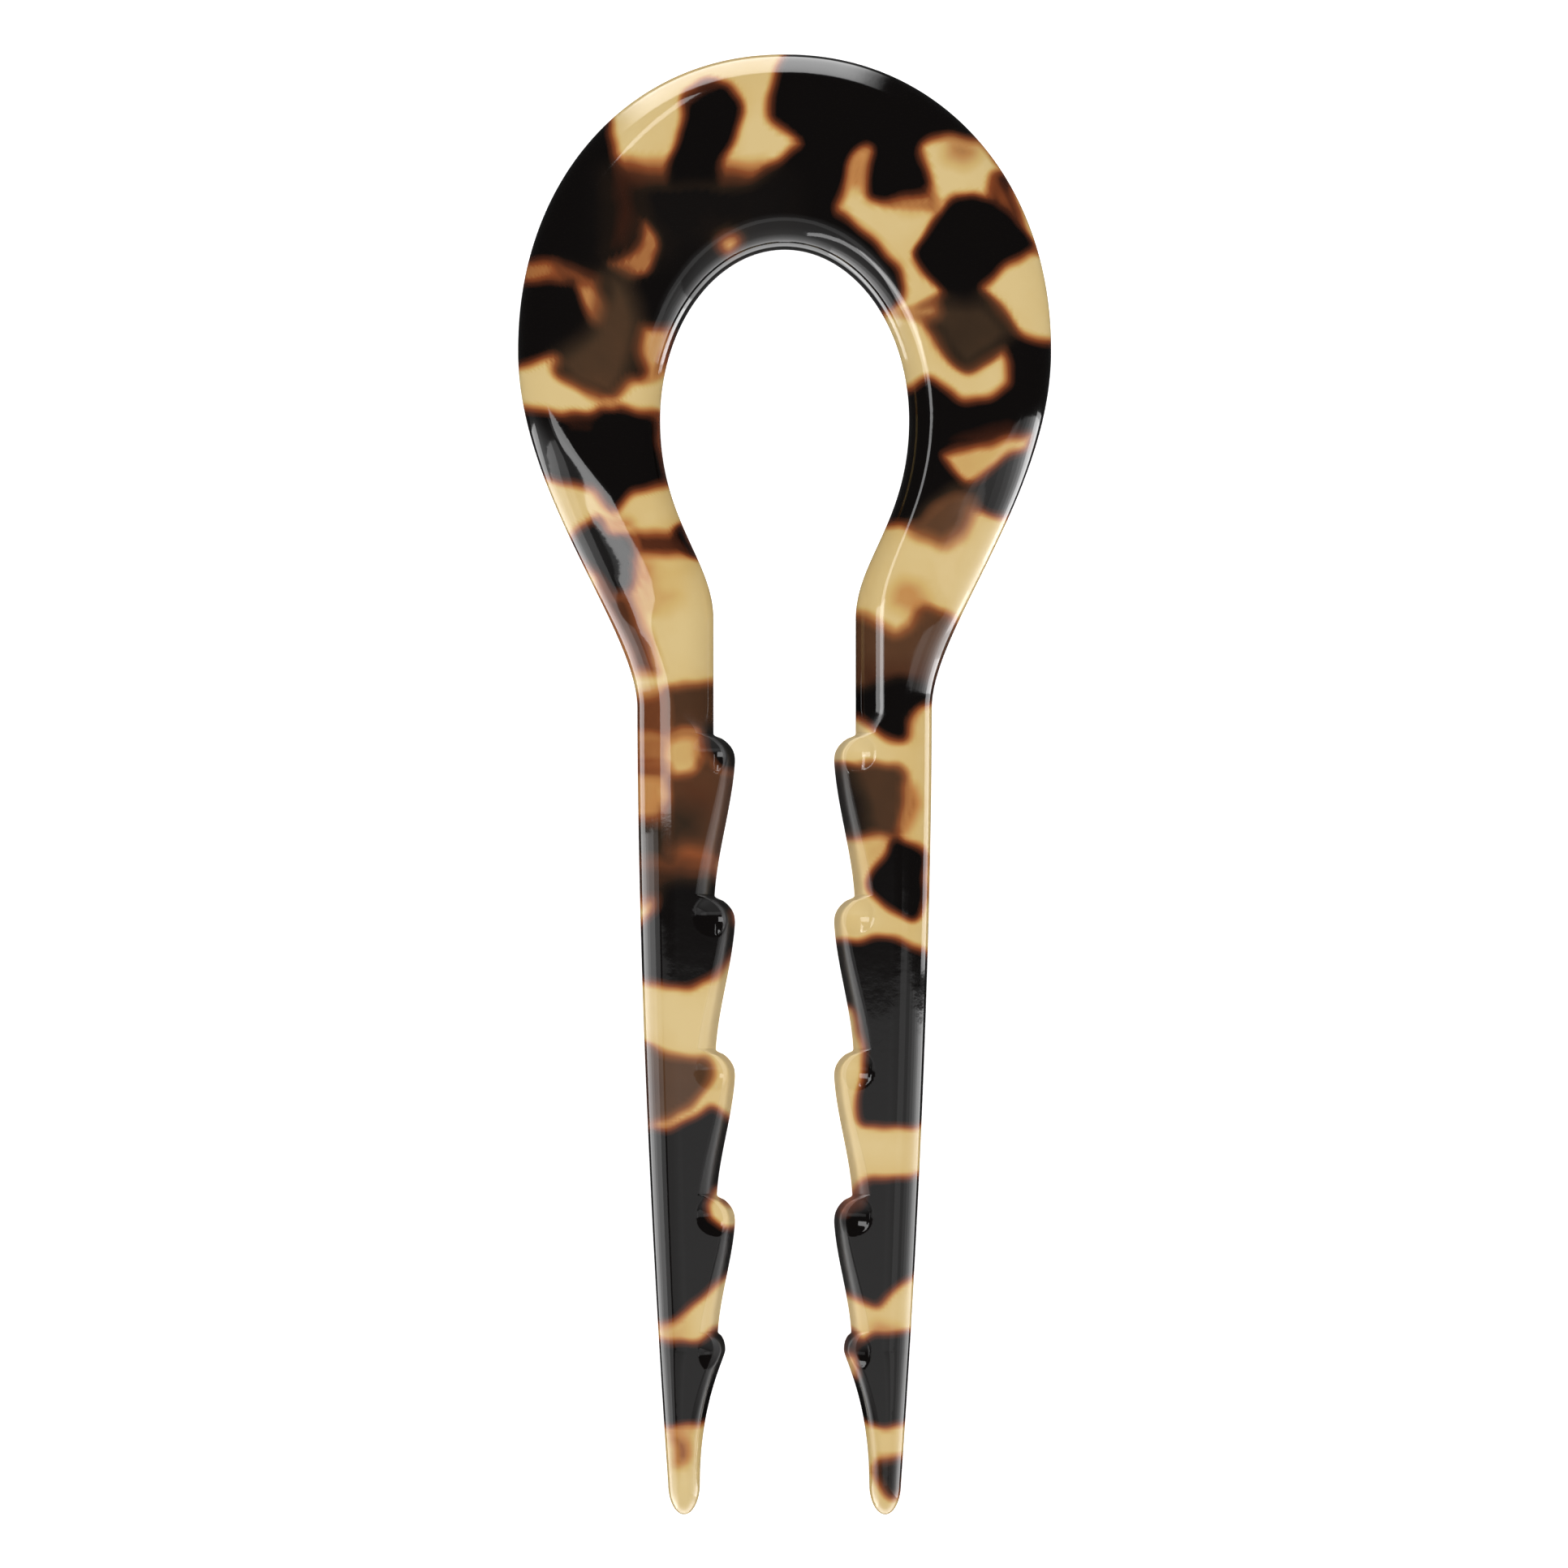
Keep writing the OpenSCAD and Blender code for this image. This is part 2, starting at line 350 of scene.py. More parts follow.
def ring(station, side):
    """One closed section: its front side, then half as many points of its back, from out to in."""
    upper = upper_edge(station)
    lower = upper[-3:0:-2] * (1, 1, -1, 1)
    loop = np.vstack([upper, lower])
    return np.column_stack([side * loop[:, 0], LENGTH / 2 - loop[:, 1], MID_Z + loop[:, 2], loop[:, 3]])


def pin_mesh():
    stations = half_stations()
    rings = [ring(s, -1) for s in reversed(stations[1:])] + [ring(s, 1) for s in stations]
    size = len(rings[0])
    tip = TIP_IN + TIP_W / 2
    points = np.vstack(rings + [[[-tip, -LENGTH / 2, MID_Z, 0]], [[tip, -LENGTH / 2, MID_Z, 0]]])
    faces = []
    for r in range(len(rings) - 1):
        for i in range(size):
            a, b = r * size + i, r * size + (i + 1) % size
            faces.append((a, b, b + size, a + size))
    first, last = len(points) - 2, len(points) - 1
    base = (len(rings) - 1) * size
    for i in range(size):
        faces.append((first, (i + 1) % size, i))
        faces.append((last, base + i, base + (i + 1) % size))
    return points[:, :3], points[:, 3], faces


# The chart of the tortoiseshell, drawn on the photo's grid. Honey is the ground.
# Chip: dye from 0 honey to 1 black, haze from 0 at the surface to 1 deep below it, width of the
# soft edge, and the corners of its outline. Later chips cover earlier ones.
CHIPS = [
    # the black masses of the head's two sides
    (1.00, 0.0, 14, [(560, 20), (966, 20), (966, 560), (803, 599), (777, 609), (758, 634), (742, 616),
                     (732, 600), (684, 592), (560, 560)]),
    (1.00, 0.0, 14, [(930, 20), (1380, 20), (1380, 640), (1240, 638), (1212, 630), (1190, 612),
                     (1160, 620), (1135, 648), (1110, 645), (1060, 640), (930, 560)]),
    # the crown, left of its middle
    (0.00, 0.0, 14, [(752, 152), (735, 120), (850, 50), (975, 45), (960, 90), (946, 150), (987, 177),
                     (966, 199), (930, 230), (888, 260), (826, 260), (775, 240), (757, 196), (751, 168)]),
    (1.00, 0.3, 34, [(740, 216), (850, 214), (900, 216), (945, 219), (980, 232), (960, 320), (740, 320)]),
    (1.00, 0.0, 13, [(843, 130), (849, 118), (870, 105), (898, 105), (915, 130), (906, 170), (888, 203),
                     (884, 228), (828, 228), (826, 208), (836, 170), (842, 150)]),
    (0.60, 0.0, 14, [(846, 118), (868, 105), (886, 103), (884, 116), (862, 124), (850, 132)]),
    (0.72, 0.0, 28, [(755, 215), (782, 215), (788, 270), (775, 310), (750, 310), (752, 260)]),
    (0.16, 0.0, 16, [(884, 296), (897, 288), (912, 291), (914, 306), (900, 318), (886, 310)]),
    # the crown, right of its middle
    (0.00, 0.0, 14, [(1062, 183), (1076, 188), (1067, 220), (1070, 249), (1122, 252), (1158, 262),
                     (1146, 290), (1129, 313), (1143, 341), (1171, 361), (1148, 376), (1118, 388),
                     (1098, 386), (1113, 360), (1105, 330), (1085, 308), (1058, 286), (1026, 261),
                     (1040, 239), (1046, 211), (1052, 190)]),
    (0.26, 0.0, 12, [(1054, 190), (1072, 186), (1066, 220), (1062, 240), (1046, 236), (1047, 210)]),
    (0.28, 0.0, 16, [(1092, 250), (1110, 244), (1148, 240), (1156, 262), (1115, 262)]),
    (0.00, 0.0, 13, [(1130, 184), (1141, 175), (1157, 170), (1208, 172), (1245, 215), (1225, 214),
                     (1222, 246), (1212, 249), (1198, 241), (1173, 247), (1156, 263), (1148, 234)]),
    (0.33, 0.5, 20, [(1163, 176), (1185, 172), (1203, 180), (1204, 195), (1186, 206), (1166, 198)]),
    (0.05, 0.0, 10, [(1240, 205), (1262, 240), (1285, 300), (1277, 310), (1258, 285), (1247, 245)]),
    (0.48, 0.0, 14, [(1225, 212), (1247, 242), (1258, 288), (1238, 268), (1222, 259), (1219, 235)]),
    # the right side of the head
    (1.00, 0.0, 14, [(1145, 290), (1162, 264), (1185, 250), (1197, 246), (1222, 261), (1245, 281),
                     (1273, 308), (1235, 333), (1212, 350), (1205, 359), (1207, 374), (1170, 374),
                     (1155, 352), (1135, 328), (1129, 313)]),
    (0.00, 0.0, 14, [(1205, 358), (1235, 332), (1273, 310), (1310, 310), (1310, 422), (1270, 421),
                     (1248, 411), (1222, 376)]),
    (0.00, 0.0, 14, [(1085, 380), (1120, 388), (1137, 394), (1158, 419), (1174, 447), (1187, 455),
                     (1215, 445), (1237, 430), (1243, 445), (1242, 478), (1212, 495), (1178, 495),
                     (1155, 474), (1143, 469), (1118, 481), (1085, 478)]),
    (0.86, 0.7, 20, [(1133, 384), (1165, 374), (1207, 370), (1222, 378), (1247, 413), (1228, 434),
                     (1199, 453), (1186, 454), (1164, 432), (1145, 403)]),
    (0.18, 0.3, 16, [(1118, 384), (1150, 376), (1158, 388), (1145, 398), (1125, 393)]),
    (0.70, 0.0, 26, [(1165, 545), (1185, 528), (1250, 522), (1262, 535), (1240, 548), (1200, 552)]),
    (0.12, 0.0, 12, [(1157, 562), (1182, 553), (1222, 547), (1275, 533), (1270, 556), (1236, 568),
                     (1209, 591), (1190, 598), (1170, 583)]),
    (0.72, 0.85, 20, [(1122, 650), (1140, 632), (1165, 608), (1190, 604), (1203, 615), (1187, 656),
                      (1163, 673), (1133, 661)]),
    # the left side of the head
    (0.34, 0.0, 12, [(640, 318), (690, 324), (700, 350), (635, 352)]),
    (0.52, 0.1, 14, [(685, 320), (712, 328), (746, 346), (735, 360), (704, 352), (685, 347)]),
    (0.28, 0.1, 10, [(712, 350), (735, 350), (754, 390), (745, 406), (729, 402), (714, 372)]),
    (0.34, 0.1, 9, [(794, 272), (812, 295), (816, 310), (802, 341), (776, 348), (748, 326), (775, 320),
                    (787, 305)]),
    (0.84, 0.9, 22, [(690, 440), (683, 452), (705, 476), (752, 496), (776, 470), (787, 430), (790, 395),
                     (775, 345), (750, 335), (735, 400), (715, 420)]),
    (0.20, 0.1, 14, [(790, 404), (816, 402), (830, 400), (828, 430), (806, 470), (797, 470), (789, 440)]),
    (0.00, 0.0, 14, [(625, 452), (662, 446), (690, 438), (682, 462), (720, 481), (750, 497), (776, 472),
                     (806, 466), (830, 440), (828, 512), (780, 510), (748, 500), (731, 512), (700, 515),
                     (655, 508), (625, 500)]),
    (0.25, 0.0, 10, [(744, 490), (758, 494), (760, 508), (744, 506)]),
    (0.72, 0.0, 20, [(700, 518), (735, 518), (735, 535), (700, 535)]),
    (0.42, 0.0, 10, [(806, 512), (817, 512), (822, 560), (830, 590), (818, 590), (808, 545)]),
    # the left neck
    (1.00, 0.0, 13, [(700, 672), (717, 651), (738, 636), (752, 658), (780, 664), (784, 700), (776, 730),
                     (757, 735), (730, 700)]),
    (0.25, 0.0, 10, [(750, 638), (782, 640), (784, 656), (752, 658)]),
    (0.62, 0.2, 16, [(735, 715), (757, 733), (777, 732), (795, 775), (812, 830), (780, 830), (748, 755)]),
    (0.62, 0.0, 12, [(783, 656), (828, 657), (836, 650), (850, 688), (815, 684), (785, 686)]),
    (0.95, 0.0, 10, [(834, 650), (841, 646), (862, 690), (848, 685), (833, 662)]),
    (0.28, 0.0, 18, [(785, 690), (800, 690), (812, 700), (806, 720), (808, 745), (800, 756), (786, 715)]),
    (0.14, 0.0, 20, [(800, 725), (825, 720), (842, 728), (838, 745), (818, 752), (802, 752)]),
    (0.10, 0.0, 18, [(808, 696), (830, 692), (850, 697), (848, 712), (825, 716), (808, 710)]),
    # the right neck
    (0.22, 0.0, 16, [(1099, 720), (1117, 713), (1133, 720), (1150, 746), (1122, 758), (1095, 748)]),
    (0.42, 0.0, 14, [(1128, 752), (1140, 748), (1170, 762), (1165, 775), (1140, 775), (1128, 765)]),
    (0.72, 0.7, 16, [(1040, 757), (1063, 758), (1092, 774), (1105, 783), (1123, 769), (1141, 753),
                     (1163, 758), (1185, 768), (1170, 860), (1040, 860)]),
    (0.66, 0.1, 24, [(1060, 822), (1150, 822), (1160, 850), (1060, 850)]),
    # the left leg, above its second barb
    (0.55, 0.2, 18, [(770, 858), (812, 852), (826, 846), (826, 912), (770, 908)]),
    (0.76, 0.6, 13, [(824, 846), (860, 845), (900, 838), (900, 912), (868, 916), (860, 900), (824, 902)]),
    (0.36, 0.1, 12, [(770, 905), (826, 905), (826, 946), (770, 946)]),
    (0.12, 0.1, 14, [(824, 908), (850, 910), (862, 904), (868, 920), (862, 938), (850, 950), (838, 949),
                     (824, 942)]),
    (0.33, 0.1, 10, [(824, 900), (858, 898), (868, 908), (866, 935), (858, 945), (858, 912), (824, 910)]),
    (1.00, 0.0, 13, [(868, 898), (915, 898), (915, 950), (885, 948), (868, 925)]),
    (0.70, 0.5, 12, [(824, 953), (840, 957), (855, 952), (864, 938), (872, 928), (884, 948), (920, 952),
                     (900, 1060), (824, 1060)]),
    (0.62, 0.3, 18, [(780, 944), (824, 944), (824, 962), (780, 958)]),
    (0.22, 0.1, 13, [(775, 957), (822, 957), (822, 1007), (775, 1007)]),
    (0.62, 0.2, 26, [(845, 965), (880, 975), (872, 1000), (850, 990)]),
    (0.88, 0.5, 26, [(826, 995), (862, 1000), (862, 1030), (826, 1036)]),
    (0.90, 0.5, 16, [(775, 1010), (826, 1010), (826, 1060), (775, 1060)]),
    (0.38, 0.1, 16, [(830, 1046), (850, 1040), (878, 1046), (884, 1062), (872, 1072), (834, 1070)]),
    # the left leg, from its second barb to its third
    (0.76, 0.3, 20, [(775, 1060), (830, 1062), (875, 1070), (890, 1080), (880, 1110), (775, 1110)]),
    (1.00, 0.0, 14, [(820, 1090), (915, 1090), (915, 1160), (890, 1192), (878, 1204), (860, 1211),
                     (845, 1216), (830, 1213), (810, 1210), (775, 1202), (775, 1150), (810, 1120)]),
    (0.38, 0.0, 8, [(896, 1118), (915, 1118), (915, 1142), (900, 1142)]),
    (0.78, 0.9, 12, [(775, 1278), (805, 1290), (840, 1303), (870, 1303), (878, 1312), (877, 1324),
                     (865, 1345), (848, 1363), (825, 1376), (775, 1382)]),
    (0.70, 0.2, 12, [(775, 1280), (806, 1292), (812, 1340), (808, 1382), (775, 1384)]),
    # the left leg below its third barb
    (1.00, 0.0, 13, [(775, 1388), (815, 1391), (840, 1386), (857, 1376), (880, 1364), (893, 1375),
                     (915, 1392), (915, 1550), (878, 1584), (850, 1608), (832, 1626), (812, 1634),
                     (775, 1636)]),
    (0.02, 0.0, 11, [(869, 1486), (874, 1476), (880, 1462), (888, 1462), (890, 1476), (915, 1486),
                     (915, 1512), (895, 1514), (884, 1508), (874, 1502)]),
    (0.12, 0.1, 20, [(790, 1632), (832, 1630), (850, 1625), (845, 1655), (790, 1655)]),
    (1.00, 0.0, 12, [(775, 1648), (830, 1653), (850, 1655), (866, 1652), (884, 1636), (915, 1636),
                     (915, 1752), (867, 1752), (830, 1756), (775, 1748)]),
    (0.16, 0.0, 14, [(828, 1756), (852, 1756), (850, 1768), (828, 1764)]),
    (0.40, 0.1, 13, [(824, 1766), (834, 1764), (850, 1776), (850, 1800), (840, 1806), (830, 1802),
                     (830, 1782)]),
    # the right leg, above its second barb
    (1.00, 0.0, 13, [(1040, 850), (1066, 852), (1084, 840), (1110, 834), (1125, 838), (1150, 852),
                     (1150, 862), (1132, 872), (1122, 892), (1117, 910), (1104, 914), (1088, 906),
                     (1066, 890), (1056, 880), (1040, 884)]),
    (0.10, 0.2, 20, [(1122, 885), (1134, 880), (1134, 900), (1122, 915)]),
    (0.80, 0.7, 12, [(1020, 942), (1045, 945), (1080, 941), (1108, 942), (1118, 955), (1112, 1000),
                     (1100, 1030), (1075, 1028), (1020, 1030)]),
    (0.97, 0.2, 20, [(1020, 948), (1050, 952), (1064, 990), (1070, 1028), (1020, 1028)]),
    (0.33, 0.0, 13, [(1116, 966), (1128, 966), (1137, 990), (1128, 1010), (1108, 1028), (1112, 1000)]),
    (0.60, 0.1, 12, [(1094, 1020), (1106, 1022), (1106, 1042), (1096, 1040)]),
    (0.12, 0.1, 18, [(1060, 1034), (1094, 1034), (1090, 1052), (1070, 1070), (1060, 1070)]),
    # the right leg, from its second barb to its third
    (1.00, 0.0, 11, [(1100, 1033), (1125, 1040), (1141, 1052), (1139, 1100), (1132, 1128), (1121, 1134),
                     (1090, 1114), (1074, 1102), (1070, 1090), (1080, 1068), (1095, 1050)]),
    (1.00, 0.0, 12, [(1010, 1161), (1062, 1161), (1085, 1154), (1098, 1153), (1118, 1163), (1136, 1172),
                     (1160, 1200), (1150, 1385), (1062, 1385), (1056, 1372), (1058, 1345), (1065, 1320),
                     (1066, 1285), (1050, 1240), (1010, 1236)]),
    (0.90, 0.0, 22, [(1118, 1185), (1130, 1185), (1130, 1212), (1116, 1212)]),
    # the right leg below its third barb
    (1.00, 0.0, 13, [(1066, 1453), (1150, 1448), (1150, 1560), (1110, 1577), (1092, 1594), (1079, 1608),
                     (1058, 1598), (1010, 1584), (1010, 1482), (1052, 1482), (1058, 1462)]),
    (0.55, 0.0, 12, [(1052, 1482), (1064, 1460), (1072, 1466), (1066, 1490), (1052, 1490)]),
    (0.48, 0.0, 12, [(1030, 1482), (1048, 1482), (1048, 1500), (1030, 1500)]),
    (0.22, 0.1, 14, [(1072, 1640), (1080, 1629), (1092, 1626), (1106, 1634), (1106, 1644)]),
    (1.00, 0.0, 11, [(1066, 1650), (1078, 1644), (1110, 1641), (1150, 1638), (1150, 1746), (1110, 1752),
                     (1080, 1754), (1040, 1746), (1040, 1690), (1060, 1700), (1050, 1668), (1058, 1655)]),
    (0.14, 0.0, 10, [(1036, 1664), (1050, 1666), (1056, 1690), (1036, 1690)]),
    (1.00, 0.0, 14, [(1040, 1640), (1052, 1642), (1056, 1658), (1050, 1666), (1036, 1668)]),
    (0.96, 0.2, 14, [(1083, 1799), (1092, 1797), (1112, 1795), (1125, 1800), (1112, 1832), (1104, 1842),
                     (1092, 1838), (1084, 1822), (1080, 1810)]),
]

# The photo's grid: its scale, the pin's middle line and the top of its crown.
PX_PER_MM = 15.643
AXIS_PX = 966.7
CROWN_PX = 67.0

# A chip's edge: how its corners are rounded, how much wider than charted it fades, and the faint
# tinge beyond it, with the distance over which that falls and how many such distances it reaches.
CORNER_CUT_PX = 9.0
CORNER_STEPS = (0, 0.25, 0.5, 0.75, 1)
SOFTNESS = 1.55
TINGE = 0.09
TINGE_PX = 12.0
TINGE_REACH = 3

# Slow waves that keep the edges from running straight, across and down the grid. Wave: its share
# of the wobble, the pixels for one radian across and down, and its phase.
WOBBLE_PX = 1.2
WAVES_ACROSS = [
    (1.0, math.inf, 17, 1.3),
    (0.6, 9, 13, 0.0),
    (0.5, math.inf, 6.1, 0.0),
]
WAVES_DOWN = [
    (1.0, 15, math.inf, 0.4),
    (0.6, -8, 11, 0.0),
    (0.5, 5.3, math.inf, 0.0),
]

# The back shows the buried chips less cloudy, by this share.
BACK_HAZE = 0.5


def rounded(corners):
    """The outline with each corner replaced by a short curve."""
    corners = np.array(corners, float)
    outline = []
    for before, corner, after in zip(np.roll(corners, 1, 0), corners, np.roll(corners, -1, 0)):
        ends = []
        for other in (before, after):
            span = np.linalg.norm(other - corner)
            ends.append(corner + (other - corner) * min(CORNER_CUT_PX / span, 0.5))
        for t in CORNER_STEPS:
            outline.append((1 - t) ** 2 * ends[0] + 2 * t * (1 - t) * corner + t * t * ends[1])
    return np.array(outline)


def coverage(x, y, corners, fringe):
    """How far a chip covers each point: 1 inside, fading across its edge to the tinge outside."""
    outline = rounded(corners)
    cover = np.zeros_like(x)
    fringe = SOFTNESS * fringe
    reach = fringe + TINGE_REACH * TINGE_PX
    low, high = outline.min(0) - reach, outline.max(0) + reach
    near = (x > low[0]) & (x < high[0]) & (y > low[1]) & (y < high[1])
    px, py = x[near], y[near]
    away, inside = np.full_like(px, np.inf), np.zeros(px.shape, bool)
    for a, b in zip(outline, np.roll(outline, -1, 0)):
        dx, dy = b - a
        span = dx * dx + dy * dy
        if span == 0:
            continue
        t = np.clip(((px - a[0]) * dx + (py - a[1]) * dy) / span, 0, 1)
        away = np.minimum(away, np.hypot(px - a[0] - t * dx, py - a[1] - t * dy))
        if dy != 0:
            crosses = (py < a[1]) != (py < b[1])
            inside ^= crosses & (px < a[0] + (py - a[1]) * dx / dy)
    core = np.clip(0.5 + np.where(inside, away, -away) / fringe, 0, 1)
    cover[near] = np.maximum(core, TINGE * np.exp(-away / TINGE_PX))
    return cover


def wobble(x, y, waves):
    return WOBBLE_PX * sum(share * np.sin(x / across + y / down + phase)
                           for share, across, down, phase in waves)


def tortoiseshell(points):
    """Dye and haze at each point of the mesh, from the chart."""
    x = AXIS_PX + PX_PER_MM * points[:, 0]
    y = CROWN_PX + PX_PER_MM * (LENGTH / 2 - points[:, 1])
    x, y = x + wobble(x, y, WAVES_ACROSS), y + wobble(x, y, WAVES_DOWN)
    dye, haze = np.zeros_like(x), np.zeros_like(x)
    for chip_dye, chip_haze, fringe, corners in CHIPS:
        cover = coverage(x, y, corners, fringe)
        dye += (chip_dye - dye) * cover
        haze += (chip_haze - haze) * cover
    haze[points[:, 2] < MID_Z] *= BACK_HAZE
    return dye, haze


# The colour sockets of a mix node, which share their names with its other sockets.
MIX_FACTOR = 0
MIX_A = 6
MIX_B = 7
MIX_RESULT = 2


class Graph:
    """The nodes of a material or of the world, linked as they are added."""

    def __init__(self, owner):
        owner.use_nodes = True
        self.tree = owner.node_tree
        self.tree.nodes.clear()

    def add(self, kind, inputs=None, **settings):
        node = self.tree.nodes.new(kind)
        for key, value in settings.items():
            setattr(node, key, value)
        for key, value in (inputs or {}).items():
            if isinstance(value, bpy.types.NodeSocket):
                self.tree.links.new(value, node.inputs[key])
            else:
                node.inputs[key].default_value = value
        return node

    def ramp(self, factor, stops):
        node = self.add("ShaderNodeValToRGB", {"Fac": factor})
        elements = node.color_ramp.elements
        while len(elements) < len(stops):
            elements.new(0.5)
        for element, (place, colour) in zip(elements, stops):
            element.position = place
            element.color = (*colour, 1)
        return node.outputs["Color"]

    def maths(self, operation, a, b=0.0, c=0.0, clamp=False):
        return self.add("ShaderNodeMath", {0: a, 1: b, 2: c}, operation=operation,
                        use_clamp=clamp).outputs[0]


# The acetate's colour against its dye, where the dye is at the surface and where it is buried.
SURFACE_COLOURS = [
    (0.00, (0.700, 0.530, 0.245)),
    (0.10, (0.640, 0.440, 0.160)),
    (0.24, (0.520, 0.230, 0.070)),
    (0.42, (0.240, 0.060, 0.018)),
    (0.62, (0.060, 0.016, 0.007)),
    (0.85, (0.0030, 0.0022, 0.0020)),
]
BURIED_COLOURS = [
    (0.00, (0.700, 0.530, 0.245)),
    (0.20, (0.480, 0.275, 0.105)),
    (0.45, (0.250, 0.108, 0.042)),
    (0.70, (0.125, 0.056, 0.026)),
    (0.86, (0.060, 0.034, 0.018)),
    (1.00, (0.010, 0.008, 0.007)),
]

# The acetate's finish: faint clouds in the dye, fine waves left by the polishing, in metres, and
# the gloss of the polished faces and of the filed strips.
CLOUD_SCALE = 180.0
CLOUD_DETAIL = 3.0
CLOUD_ROUGHNESS = 0.55
CLOUD_SPREAD = 0.16
WAVE_SCALE = 420.0
WAVE_DETAIL = 4.0
WAVE_STRENGTH = 0.05
WAVE_HEIGHT = 0.0002
ACETATE_IOR = 1.49
POLISHED_ROUGHNESS = 0.06
FILED_ROUGHNESS = 0.45
POLISHED_SHINE = 0.5
FILED_SHINE = 1.0


def acetate_material():
    material = bpy.data.materials.new("acetate")
    g = Graph(material)
    dye = g.add("ShaderNodeAttribute", attribute_name="dye").outputs["Fac"]
    haze = g.add("ShaderNodeAttribute", attribute_name="haze").outputs["Fac"]
    place = g.add("ShaderNodeTexCoord").outputs["Object"]
    cloud = g.add("ShaderNodeTexNoise", {"Vector": place, "Scale": CLOUD_SCALE, "Detail": CLOUD_DETAIL,
                                         "Roughness": CLOUD_ROUGHNESS}).outputs["Fac"]
    shift = g.maths("MULTIPLY_ADD", cloud, CLOUD_SPREAD, -CLOUD_SPREAD / 2)
    dye = g.maths("ADD", dye, shift, clamp=True)
    surface = g.ramp(dye, SURFACE_COLOURS)
    buried = g.ramp(dye, BURIED_COLOURS)
    colour = g.add("ShaderNodeMix", {MIX_FACTOR: haze, MIX_A: surface, MIX_B: buried},
                   data_type="RGBA").outputs[MIX_RESULT]
    fine = g.add("ShaderNodeTexNoise", {"Vector": place, "Scale": WAVE_SCALE,
                                        "Detail": WAVE_DETAIL}).outputs["Fac"]
    bump = g.add("ShaderNodeBump", {"Strength": WAVE_STRENGTH, "Distance": WAVE_HEIGHT, "Height": fine})
    matt = g.add("ShaderNodeAttribute", attribute_name="matt").outputs["Fac"]
    roughness = g.maths("MULTIPLY_ADD", matt, FILED_ROUGHNESS - POLISHED_ROUGHNESS, POLISHED_ROUGHNESS)
    shine = g.maths("MULTIPLY_ADD", matt, FILED_SHINE - POLISHED_SHINE, POLISHED_SHINE)
    shader = g.add("ShaderNodeBsdfPrincipled", {
        "Base Color": colour,
        "Roughness": roughness,
        "IOR": ACETATE_IOR,
        "Specular IOR Level": shine,
        "Normal": bump.outputs["Normal"],
    })
    g.add("ShaderNodeOutputMaterial", {"Surface": shader.outputs["BSDF"]})
    return material


def make_pin():
    points, matt, faces = pin_mesh()
    mesh = bpy.data.meshes.new("pin_body")
    mesh.from_pydata((points * MM).tolist(), [], faces)
    dye, haze = tortoiseshell(points)
    for name, values in (("dye", dye), ("haze", haze), ("matt", matt)):
        layer = mesh.attributes.new(name, "FLOAT", "POINT")
        layer.data.foreach_set("value", values.astype(np.float32))
    shape = bmesh.new()
    shape.from_mesh(mesh)
    bmesh.ops.remove_doubles(shape, verts=shape.verts, dist=SAME_POINT * MM)
    shape.to_mesh(mesh)
    shape.free()
    mesh.shade_smooth()
    body = bpy.data.objects.new("pin_body", mesh)
    bpy.context.collection.objects.link(body)
    mesh.materials.append(acetate_material())
    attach(body, "root")
    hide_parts("hair_pin")


# The camera looks straight down from this height in metres, and its frame takes in the whole photo
# at the pin's middle plane.
CAMERA_UP = 0.60
CLIP_START = 0.01
FRAME_PX = 1932
SENSOR = 36.0


def make_camera():
    data = bpy.data.cameras.new("camera")
    data.sensor_width = SENSOR
    data.lens = SENSOR * CAMERA_UP / (FRAME_PX / PX_PER_MM * MM)
    data.clip_start = CLIP_START
    camera = bpy.data.objects.new("camera", data)
    right = (FRAME_PX / 2 - AXIS_PX) / PX_PER_MM
    up = LENGTH / 2 - (FRAME_PX / 2 - CROWN_PX) / PX_PER_MM
    camera.location = (right * MM, up * MM, MID_Z * MM + CAMERA_UP)
    bpy.context.collection.objects.link(camera)
    bpy.context.scene.camera = camera


# The stage, in millimetres: a pale floor just under the pin, which glows a little and isn't seen by
# the gloss, and below it a dark strip under the gap between the legs, which only the gloss sees.
FLOOR = [(-3000, -3000), (3000, -3000), (3000, 3000), (-3000, 3000)]
FLOOR_Z = -0.02
FLOOR_COLOUR = (0.9, 0.9, 0.9, 1)
FLOOR_ROUGHNESS = 0.9
FLOOR_GLOW = 0.65
SHADE = [(-7, -56), (7, -56), (7, 16), (-7, 16)]
SHADE_Z = -0.04
SHADE_GLOW = 0.01
WHITE = (1, 1, 1, 1)


def make_stage(name, outline, z):
    """A flat piece of the stage, and the graph of its material."""
    mesh = bpy.data.meshes.new(name)
    mesh.from_pydata([(x * MM, y * MM, z * MM) for x, y in outline], [], [range(len(outline))])
    piece = bpy.data.objects.new(name, mesh)
    bpy.context.collection.objects.link(piece)
    material = bpy.data.materials.new(name)
    mesh.materials.append(material)
    return piece, Graph(material)


def make_floor():
    floor, g = make_stage("floor", FLOOR, FLOOR_Z)
    floor.visible_glossy = False
    shader = g.add("ShaderNodeBsdfPrincipled", {
        "Base Color": FLOOR_COLOUR,
        "Roughness": FLOOR_ROUGHNESS,
        "Emission Color": WHITE,
        "Emission Strength": FLOOR_GLOW,
    })
    g.add("ShaderNodeOutputMaterial", {"Surface": shader.outputs["BSDF"]})


def make_shade():
    shade, g = make_stage("gap_shade", SHADE, SHADE_Z)
    shade.visible_camera = False
    shade.visible_diffuse = False
    shade.visible_shadow = False
    shader = g.add("ShaderNodeEmission", {"Color": WHITE, "Strength": SHADE_GLOW})
    g.add("ShaderNodeOutputMaterial", {"Surface": shader.outputs["Emission"]})


